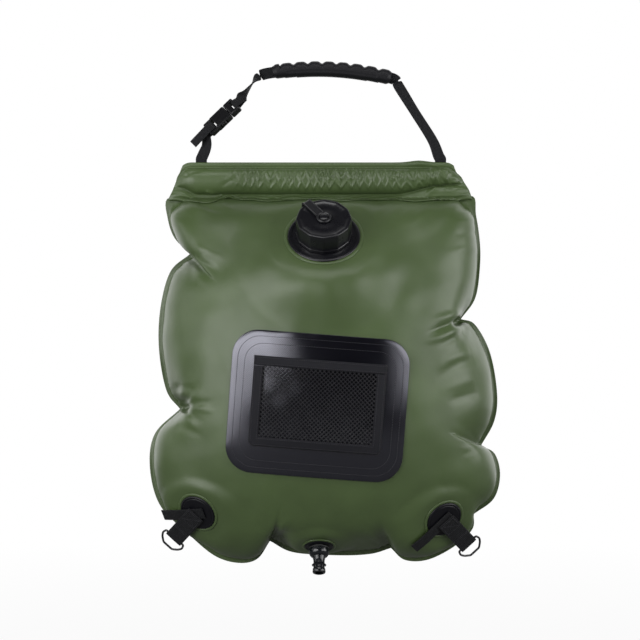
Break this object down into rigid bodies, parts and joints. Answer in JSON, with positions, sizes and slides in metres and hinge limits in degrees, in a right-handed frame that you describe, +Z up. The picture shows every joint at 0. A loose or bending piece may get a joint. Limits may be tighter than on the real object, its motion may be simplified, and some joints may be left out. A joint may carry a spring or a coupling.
{
  "type": "camp shower bag",
  "caption": "Hanging film water bag with a screw filler, hose outlet, net pocket, corner rings and a carry handle with a side-release buckle.",
  "frame": {"origin": "the point on the underside of the grip where the handle hangs on a hook, branch or hand", "axes": "+Z up; the front of the bag, with its filler and pocket, faces -Y; +X to the right as seen from the front"},
  "size_m": [0.3748, 0.2246, 0.543],
  "materials": {
    "film": "satin coated film, olive green",
    "rod": "matt",
    "webbing": "ribbed woven webbing, black",
    "grip_rubber": "moulded, matt",
    "buckle_plastic": "moulded acetal, semi-gloss black",
    "filler_plastic": "moulded, semi-gloss black",
    "seal_rubber": "matt",
    "tether_rubber": "moulded, satin",
    "patch_film": "glossy embossed black coated film",
    "net": "knitted net, black",
    "tape": "woven binding tape, black",
    "disc_plastic": "satin black",
    "ring_metal": "blackened wire",
    "outlet_plastic": "moulded, glossy black"
  },
  "bodies": {
    "handle": {"handle_grip": "grip_rubber", "handle_strap": "webbing", "buckle_plug": "buckle_plastic", "buckle_socket": "buckle_plastic", "lower_strap": "webbing"},
    "prong_left": {"buckle_prong_left": "buckle_plastic"},
    "prong_right": {"buckle_prong_right": "buckle_plastic"},
    "bag": {"front_panel": "film", "back_panel": "film", "top_sleeve": "film", "hanger_rod": "rod", "strap_end_left": "webbing", "strap_end_right": "webbing", "filler_neck": "filler_plastic", "pocket_patch": "patch_film", "pocket_net": "net", "pocket_binding": "tape", "pocket_hem": "tape", "anchor_disc_left": "disc_plastic", "anchor_disc_right": "disc_plastic", "tail_strap_left": "webbing", "tail_strap_right": "webbing", "outlet_flange": "disc_plastic", "outlet_seal": "seal_rubber", "outlet_body": "outlet_plastic", "outlet_nut": "outlet_plastic"},
    "cap_tether": {"tether_rivet": "filler_plastic", "cap_tether": "tether_rubber"},
    "cap": {"filler_cap": "filler_plastic", "cap_seal": "seal_rubber"},
    "ring_strap_left": {"ring_strap_left": "webbing"},
    "ring_strap_right": {"ring_strap_right": "webbing"},
    "d_ring_left": {"d_ring_left": "ring_metal"},
    "d_ring_right": {"d_ring_right": "ring_metal"}
  },
  "joints": [
    {"name": "bag_swing", "type": "hinge", "parent": "handle", "child": "bag", "pos_m": [0, 0, -0.09], "axis": [1, 0, 0], "range_deg": [-90, 90]},
    {"name": "prong_squeeze_left", "type": "hinge", "parent": "handle", "child": "prong_left", "pos_m": [-0.10339, 0.00443, -0.03391], "axis": [-0.4465, -0.766, 0.4624], "range_deg": [0, 12], "stiffness_Nm_per_rad": 0.05},
    {"name": "prong_squeeze_right", "type": "hinge", "parent": "handle", "child": "prong_right", "pos_m": [-0.09604, -0.00443, -0.04151], "axis": [-0.4465, -0.766, 0.4624], "range_deg": [-12, 0], "stiffness_Nm_per_rad": 0.05},
    {"name": "cap_rise", "type": "slide", "parent": "bag", "child": "cap_tether", "axis": [0, -0.7314, 0.682], "range_m": [0, 0.008], "deforming": ["cap_tether"]},
    {"name": "cap_turn", "type": "hinge", "parent": "cap_tether", "child": "cap", "pos_m": [0.003, -0.0735, -0.1735], "axis": [0, -0.7314, 0.682], "range_deg": [0, 720]},
    {"name": "ring_strap_lift_left", "type": "hinge", "parent": "bag", "child": "ring_strap_left", "pos_m": [-0.13052, -0.05575, -0.46321], "axis": [-0.7434, 0.0058, 0.6689], "range_deg": [0, 80]},
    {"name": "ring_strap_lift_right", "type": "hinge", "parent": "bag", "child": "ring_strap_right", "pos_m": [0.13052, -0.05575, -0.47021], "axis": [-0.7361, 0.0028, -0.6768], "range_deg": [0, 80]},
    {"name": "d_ring_swing_left", "type": "hinge", "parent": "ring_strap_left", "child": "d_ring_left", "pos_m": [-0.15456, -0.02568, -0.49019], "axis": [-0.7434, 0.0058, 0.6689], "range_deg": [-70, 110]},
    {"name": "d_ring_swing_right", "type": "hinge", "parent": "ring_strap_right", "child": "d_ring_right", "pos_m": [0.15504, -0.02568, -0.49675], "axis": [-0.7361, 0.0028, -0.6768], "range_deg": [-70, 110]}
  ],
  "couplings": [
    {"joint": "cap_rise", "follows": "cap_turn", "m_per_rad": 0.00063662},
    {"joint": "prong_squeeze_right", "follows": "prong_squeeze_left", "ratio": -1}
  ]
}
